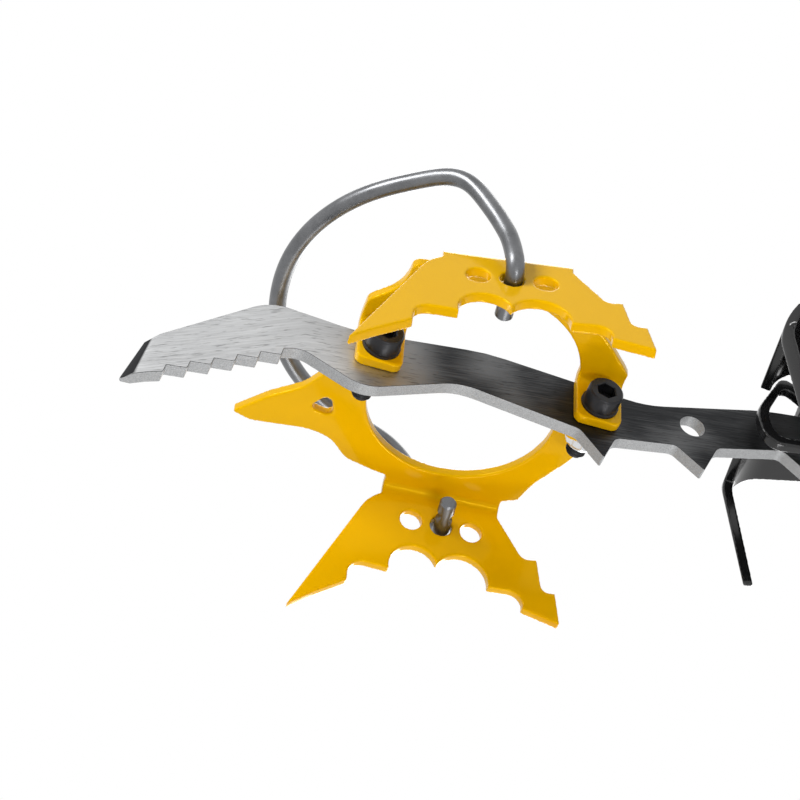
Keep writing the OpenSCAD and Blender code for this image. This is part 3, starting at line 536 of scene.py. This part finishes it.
def record_joint(name):
    """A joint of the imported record."""
    return next(j for j in RECORD["behaviour"]["joints"] if j["name"] == name)


def placed(origin, x_axis, y_axis, z_axis):
    """The matrix of a place with its own axes."""
    return Matrix.Translation(origin) @ Matrix((x_axis, y_axis, z_axis)).transposed().to_4x4()


def mirrored(points):
    """The same points on the other side of the XZ plane, in the opposite order."""
    return [Vector((p.x, -p.y, p.z)) for p in reversed(points)]


def bent(corners, radii):
    """Points along straight runs joined by bends of the given radii, a few degrees apart."""
    step, straight = 4.0, 0.5
    route = [corners[0]]
    for before, corner, after, radius in zip(corners, corners[1:], corners[2:], radii[1:]):
        u, v = (corner - before).normalized(), (after - corner).normalized()
        angle = u.angle(v)
        if radius == 0 or math.degrees(angle) < straight:
            route.append(corner)
            continue
        inward = (v - u * math.cos(angle)).normalized()
        start = corner - u * (radius * math.tan(angle / 2))
        count = max(2, math.ceil(math.degrees(angle) / step))
        turns = [angle * i / count for i in range(count + 1)]
        route += [start + radius * (u * math.sin(t) + inward * (1 - math.cos(t))) for t in turns]
    return route + [corners[-1]]


def relaxed(route, spacing, passes, held):
    """The same route with even points, springing out of its bends; the points held at each end stay."""
    points, rest = [route[0]], 0.0
    for a, b in zip(route, route[1:]):
        long = (b - a).length
        at = spacing - rest
        while at <= long:
            points.append(a.lerp(b, at / long))
            at += spacing
        rest = long - (at - spacing)
    for _ in range(passes):
        points = [p if min(i, len(points) - 1 - i) < held else (points[i - 1] + 2 * p + points[i + 1]) / 4
                  for i, p in enumerate(points)]
    return points


def eased_end(p):
    """A point of a wire's end, drawn in towards the wire's middle, which runs along Y."""
    share = 0.84
    return Vector((share * p.x, p.y, share * p.z))


def wire_piece(node, tree, route, place, radius, shape):
    """A bent wire along a route given in its own axes, then shaped there, standing for a CAD node."""
    join = 0.002 * MM
    path = bpy.data.meshes.new(node + "_route")
    path.from_pydata([place @ p for p in route], [(i, i + 1) for i in range(len(route) - 1)], [])
    values = {"Radius": radius, "Sides": WIRE_SIDES, "Finish": finish_of(slot_of_node(node))}
    mesh = grown(node + "_wire", path, tree, values)
    work = bmesh.new()
    work.from_mesh(mesh)
    bmesh.ops.remove_doubles(work, verts=work.verts, dist=join)
    bmesh.ops.recalc_face_normals(work, faces=work.faces)
    back = place.inverted()
    for vert in work.verts:
        vert.co = place @ shape(back @ vert.co)
    piece(node + "_finished", smoothed(work, mesh, MADE_CREASE), node)


def toe_bail(wire, tree):
    """The loop round the boot's toe: two crimped pins, two legs that lean ahead and one wide bow."""
    radius, bend, lip = wire.thick / 2, 0.9 * wire.thick, 0.5 * MM
    swing = record_joint("toe_bail_swing")
    seat = next(m for m in RECORD["mounts"] if m["name"] == "toe_seat")
    across, up = Vector(swing["axis"]), Vector(seat["axis"])
    place = placed(swing["pos_m"], across.cross(up), across, up)
    back = place.inverted()
    solid = [back @ v.co for v in frame["nodes"]["toe_bail"].data.vertices]
    leg = max(p.y for p in solid) - radius
    rise = max(p.z for p in solid) - radius
    end = leg - bend - wire.pin
    notch, bite, half_notch = end + 0.45 * wire.pin, 0.42 * radius, 1.6 * MM
    pin = [Vector((0, y, 0)) for y in (end, end + lip, notch - half_notch, notch)]
    knee, knee_bend = Vector((-2.4 * MM, leg, 0.4 * rise)), 40 * MM
    shoulder, shoulder_bend = Vector((-15.6 * MM, leg, rise)), 9 * MM
    front = Vector((-wire.reach, 0.64 * wire.loop, rise))
    half = [Vector((0, notch + half_notch, 0)), Vector((0, leg, 0)), knee, shoulder, front]
    bends = [0.0, bend, knee_bend, shoulder_bend, wire.loop]
    route = bent(half + mirrored(half), [*bends, *reversed(bends)])
    bow = relaxed(route, spacing=1.2 * MM, passes=24, held=18)
    bow[-1] = mirrored(half)[-1]

    def crimped(p):
        """Bites a notch into both sides of each pin and eases its end."""
        on_pin = abs(p.z) < rise / 4
        if on_pin and abs(abs(p.y) - notch) < NEAR:
            return Vector((max(-bite, min(bite, p.x)), p.y, p.z))
        return eased_end(p) if on_pin and abs(p.y) < end + NEAR else p

    wire_piece("toe_bail", tree, pin + bow + mirrored(pin), place, radius, crimped)


def heel_bail(wire, tree):
    """The stirrup of the heel clip: two pins in the ears and two legs that close in on the cross bar."""
    radius, bend, lip = wire.thick / 2, 0.9 * wire.thick, 0.5 * MM
    bar_half, leg_bend, bar_bend = 19 * MM, 20 * MM, 4 * MM
    swing, clip = record_joint("heel_bail_swing"), record_joint("clip_swing")
    run = Vector(clip["pos_m"]) - Vector(swing["pos_m"])
    ahead, across = run.normalized(), -Vector(swing["axis"])
    place = placed(swing["pos_m"], ahead, across, ahead.cross(across))
    back = place.inverted()
    solid = [back @ v.co for v in frame["nodes"]["heel_bail"].data.vertices]
    leg = max(p.y for p in solid) - radius
    end = min(abs(p.y) for p in solid if p.x < radius * 1.1)
    half = [Vector((0, end, 0)), Vector((0, end + lip, 0)), Vector((0, leg, 0)),
            Vector((0.5 * run.length, leg, 0)), Vector((run.length, bar_half, 0))]
    bends = [0.0, 0.0, bend, leg_bend, bar_bend]
    route = bent(half + mirrored(half), [*bends, *reversed(bends)])
    wire_piece("heel_bail", tree, route, place, radius,
               lambda p: eased_end(p) if abs(p.y) < end + NEAR and p.x < bend else p)


class CRAMPON_OT_bar(bpy.types.Operator):
    """Grinds the bar with its front point, and blacks the stop at its rear end"""

    bl_idname = "crampon.bar"
    bl_label = "Bar"

    def execute(self, context):
        eased_piece("main_bar", 0.2 * MM)
        eased_piece("bar_end_rivet", 0.5 * MM)
        return {"FINISHED"}


class CRAMPON_OT_toe_frames(bpy.types.Operator):
    """Coats the two half frames that clamp on the bar"""

    bl_idname = "crampon.toe_frames"
    bl_label = "Toe frames"

    def execute(self, context):
        for node in ("left_toe_frame", "right_toe_frame"):
            flowed_piece(node, grid=0.3 * MM, passes=11, share=0.3)
        return {"FINISHED"}


class CRAMPON_OT_clamp_fasteners(bpy.types.Operator):
    """Makes the socket screws and nuts of the toe clamp, with real threads"""

    bl_idname = "crampon.clamp_fasteners"
    bl_label = "Clamp fasteners"

    def execute(self, context):
        sizes = context.scene.crampon_fasteners
        tree = row_tree()
        low, high = solid_boxes("clamp_screws")[0]
        long = high.y - low.y
        flange, flange_thick, flange_slope = (high.x - low.x) / 2, 0.7 * MM, 0.2 * MM
        head, head_tall, head_round = flange - 0.4 * MM, 6 * MM, 0.12 * MM
        socket, socket_deep, socket_wider, socket_lead = 5 * MM, 3.4 * MM, 0.5 * MM, 0.35 * MM
        shank, tip = 3 * MM, 0.3 * MM
        root = shank - sizes.depth
        thread_run, thread_end, turn_step = 5.5 * MM, 0.6 * MM, sizes.pitch / 8
        thread_from, thread_steps = long - thread_run, int((thread_run - thread_end) / turn_step)
        # from the bottom of the socket, out over the head and along the shank to its tip
        screw = [
            hexagon(socket, socket_deep),
            hexagon(socket, socket_lead),
            hexagon(socket + socket_wider, 0.0),
            circle(head - sizes.chamfer, 0.0),
            circle(head - head_round, 0.6 * sizes.chamfer),
            circle(head, 1.2 * sizes.chamfer),
            circle(head, head_tall - flange_thick - flange_slope),
            circle(flange, head_tall - flange_thick),
            circle(flange, head_tall),
            circle(shank, head_tall),
            circle(shank, thread_from),
            *[threaded(shank, sizes.depth, sizes.pitch, thread_from + k * turn_step)
              for k in range(1, thread_steps)],
            circle(root, long - tip),
            circle(root - tip, long),
        ]
        fastener_row("clamp_screws_threaded", skinned("clamp_screw", screw), "clamp_screws", tree)
        low, high = solid_boxes("clamp_nuts")[0]
        tall, flats, bore = high.y - low.y, min(high.z - low.z, high.x - low.x), 3.03 * MM
        # from the bore, out over the flange and up the flats to the collar, and back into the bore
        nut = [
            circle(bore, 0.0),
            circle(flats / 2 + 0.35 * MM, 0.0),
            circle(flats / 2 + 0.45 * MM, 0.5 * MM),
            circle(flats / 2 + 0.3 * MM, 1.0 * MM),
            hexagon(flats - 0.5 * MM, 1.5 * MM),
            hexagon(flats - 0.6 * MM, 0.62 * tall),
            circle(flats / 2 - 0.5 * MM, 0.74 * tall),
            circle(flats / 2 - 0.8 * MM, 0.9 * tall),
            circle(flats / 2 - 1.3 * MM, tall),
            circle(bore + 0.35 * MM, tall),
            circle(bore, tall - 0.4 * MM),
            circle(bore, 0.2 * MM),
        ]
        fastener_row("clamp_nuts_flanged", skinned("clamp_nut", nut), "clamp_nuts", tree)
        return {"FINISHED"}


class CRAMPON_OT_bails(bpy.types.Operator):
    """Bends the toe bail and the heel bail, and finishes the heel bail's bushes"""

    bl_idname = "crampon.bails"
    bl_label = "Bails"

    def execute(self, context):
        tree = wire_tree()
        toe_bail(context.scene.crampon_wire, tree)
        heel_bail(context.scene.crampon_wire, tree)
        smooth_piece("bail_bushes")
        return {"FINISHED"}


class CRAMPON_OT_heel_unit(bpy.types.Operator):
    """Coats the heel frame and guard, and finishes the slider with its lock"""

    bl_idname = "crampon.heel_unit"
    bl_label = "Heel unit"

    def execute(self, context):
        for node in ("heel_frame", "lever_guard", "slider_block"):
            flowed_piece(node, grid=0.3 * MM, passes=11, share=0.3)
        for node in ("slider_screws", "lock_lever", "lock_pivot", "lock_spring"):
            smooth_piece(node)
        return {"FINISHED"}


class CRAMPON_OT_heel_clip(bpy.types.Operator):
    """Finishes the heel lever with its barrel, thumb wheel and claw"""

    bl_idname = "crampon.heel_clip"
    bl_label = "Heel clip"

    def execute(self, context):
        flowed_piece("heel_lever", grid=0.4 * MM, passes=9, share=0.3)
        flowed_piece("welt_hook", grid=0.3 * MM, passes=4, share=0.4)
        for node in ("clip_barrel", "thumb_wheel", "hook_rivets"):
            smooth_piece(node)
        return {"FINISHED"}


def paper_material(colour):
    """Pale matt paper, whose upper face alone shows, since the camera looks up from below the soles."""
    fade_from, fade_to = 0.28, 0.95
    material, tree, shader = new_material("pale_paper")
    shader.inputs["Base Color"].default_value = colour
    shader.inputs["Roughness"].default_value = 0.85
    path = add(tree, "ShaderNodeLightPath").outputs
    # further out the paper runs into the white surround, so that no edge of it shows
    place = add(tree, "ShaderNodeTexCoord").outputs["Object"]
    reach = add(tree, "ShaderNodeVectorMath", {0: place}, operation="LENGTH").outputs["Value"]
    fade = add(tree, "ShaderNodeMapRange", {"Value": reach, "From Min": fade_from, "From Max": fade_to},
               interpolation_type="SMOOTHSTEP")
    far = add(tree, "ShaderNodeMath", {0: fade.outputs[0], 1: path["Is Camera Ray"]}, operation="MULTIPLY")
    white = add(tree, "ShaderNodeEmission", {"Color": WHITE, "Strength": 1.0})
    paper = add(tree, "ShaderNodeMixShader", {0: far.outputs[0], 1: shader.outputs[0], 2: white.outputs[0]})
    # lamps shine up through it, and metal shows the white surround past it
    clear = add(tree, "ShaderNodeBsdfTransparent")
    under = add(tree, "ShaderNodeNewGeometry").outputs["Backfacing"]
    lamp = add(tree, "ShaderNodeMath", {0: path["Is Shadow Ray"], 1: path["Is Glossy Ray"]},
               operation="MAXIMUM")
    gone = add(tree, "ShaderNodeMath", {0: under, 1: lamp.outputs[0]}, operation="MAXIMUM")
    both = add(tree, "ShaderNodeMixShader", {0: gone.outputs[0], 1: paper.outputs[0], 2: clear.outputs[0]})
    tree.links.new(both.outputs[0], tree.nodes["Surface"].inputs["Surface"])
    return material


def paper_floor(colour):
    """The sheet of paper that the points stand on."""
    half, gap = 1.4, 0.2 * MM
    level = CAD_BOX[0].z - gap
    work = bmesh.new()
    corners = ((-half, -half), (half, -half), (half, half), (-half, half))
    work.faces.new([work.verts.new((x, y, level)) for x, y in corners])
    mesh = bpy.data.meshes.new("studio_floor")
    work.to_mesh(mesh)
    work.free()
    mesh.materials.append(paper_material(colour))
    floor = bpy.data.objects.new("studio_floor", mesh)
    bpy.context.scene.collection.objects.link(floor)


def soft_light(name, power, wide, tall, direction):
    """A soft box that the camera doesn't see, turned to the toe frames, in the given direction from them."""
    target = Vector((-0.06, 0.0, 0.0))
    lamp = bpy.data.lights.new(name, "AREA")
    lamp.energy = power
    lamp.shape, lamp.size, lamp.size_y = "RECTANGLE", wide, tall
    obj = bpy.data.objects.new(name, lamp)
    bpy.context.scene.collection.objects.link(obj)
    obj.location = target + Vector(direction)
    obj.rotation_mode = "QUATERNION"
    obj.rotation_quaternion = (-Vector(direction)).to_track_quat("-Z", "Y")
    obj.visible_camera = False


def white_surround(ambient):
    """A world that looks white, and gives a weak even light."""
    world = bpy.data.worlds.new("white_surround")
    bpy.context.scene.world = world
    world.use_nodes = True
    tree = world.node_tree
    tree.nodes.clear()
    path = add(tree, "ShaderNodeLightPath").outputs
    seen = add(tree, "ShaderNodeMath", {0: path["Is Camera Ray"], 1: path["Is Glossy Ray"]},
               operation="MAXIMUM")
    shown = add(tree, "ShaderNodeMath", {0: seen.outputs[0], 1: path["Is Transmission Ray"]},
                operation="MAXIMUM")
    level = add(tree, "ShaderNodeMapRange", {"Value": shown.outputs[0], "To Min": ambient, "To Max": 1.0})
    surround = add(tree, "ShaderNodeBackground", {"Color": WHITE, "Strength": level.outputs[0]})
    add(tree, "ShaderNodeOutputWorld", {0: surround.outputs[0]})


def photo_camera():
    """The camera solved from the photograph: a long lens, below the soles and ahead of the toe."""
    place = Vector((-0.261328, -0.438771, -0.445721))
    right = Vector((0.95066992, -0.29968374, -0.08010215))
    up = Vector((-0.14976525, -0.66954816, 0.72751332))
    back = Vector((-0.27165616, -0.67962851, -0.68140151))
    camera = bpy.data.objects.new("camera", bpy.data.cameras.new("camera"))
    bpy.context.scene.collection.objects.link(camera)
    camera.data.lens, camera.data.sensor_width = 108.0, 36.0
    camera.data.dof.use_dof = False
    camera.data.clip_start, camera.data.clip_end = 0.02, 20.0
    camera.matrix_world = placed(place, right, up, back)
    bpy.context.scene.camera = camera


class CRAMPON_OT_stage(bpy.types.Operator):
    """Sets the pale floor, the soft lights, the white surround and the camera"""

    bl_idname = "crampon.stage"
    bl_label = "Studio"

    def execute(self, context):
        stage = context.scene.crampon_stage
        upper = 2.8 * stage.fill
        paper_floor(stage.floor)
        soft_light("key_light", stage.key, wide=0.45, tall=0.45, direction=(-0.95, -0.72, 0.38))
        soft_light("low_light", stage.fill, wide=0.35, tall=0.12, direction=(0.05, -0.55, -0.85))
        soft_light("rim_light", stage.fill, wide=0.4, tall=0.12, direction=(0.17, 0.5, -0.85))
        soft_light("top_light", upper, wide=0.7, tall=0.7, direction=(0.25, 0.2, 1.15))
        soft_light("back_light", upper, wide=0.6, tall=0.6, direction=(0.55, 0.95, 0.3))
        white_surround(stage.ambient)
        photo_camera()
        context.scene.view_settings.view_transform = "Standard"
        return {"FINISHED"}


STEPS = (CRAMPON_OT_bar, CRAMPON_OT_toe_frames, CRAMPON_OT_clamp_fasteners, CRAMPON_OT_bails,
         CRAMPON_OT_heel_unit, CRAMPON_OT_heel_clip, CRAMPON_OT_stage)
SETTINGS = {"crampon_finish": CramponFinish, "crampon_fasteners": CramponFasteners,
            "crampon_wire": CramponWire, "crampon_stage": CramponStage}


class CRAMPON_PT_panel(bpy.types.Panel):
    """Lists the settings and the steps that dress the crampon"""

    bl_idname = "CRAMPON_PT_panel"
    bl_label = "Crampon"
    bl_space_type = "VIEW_3D"
    bl_region_type = "UI"
    bl_category = "Crampon"

    def draw(self, context):
        for name, group in SETTINGS.items():
            for key in group.__annotations__:
                self.layout.prop(getattr(context.scene, name), key)
        for step in STEPS:
            self.layout.operator(step.bl_idname)


CLASSES = (*SETTINGS.values(), *STEPS, CRAMPON_PT_panel)


def register():
    """Registers the classes and hangs the settings on the scene."""
    for cls in CLASSES:
        bpy.utils.register_class(cls)
    for name, group in SETTINGS.items():
        setattr(bpy.types.Scene, name, bpy.props.PointerProperty(type=group))


def unregister():
    """Takes the settings and classes away again."""
    for name in SETTINGS:
        delattr(bpy.types.Scene, name)
    for cls in reversed(CLASSES):
        bpy.utils.unregister_class(cls)


def main():
    """Dresses the crampon."""
    register()
    bpy.ops.crampon.bar()
    bpy.ops.crampon.toe_frames()
    bpy.ops.crampon.clamp_fasteners()
    bpy.ops.crampon.bails()
    bpy.ops.crampon.heel_unit()
    bpy.ops.crampon.heel_clip()
    bpy.ops.crampon.stage()


if __name__ == "__main__":
    main()
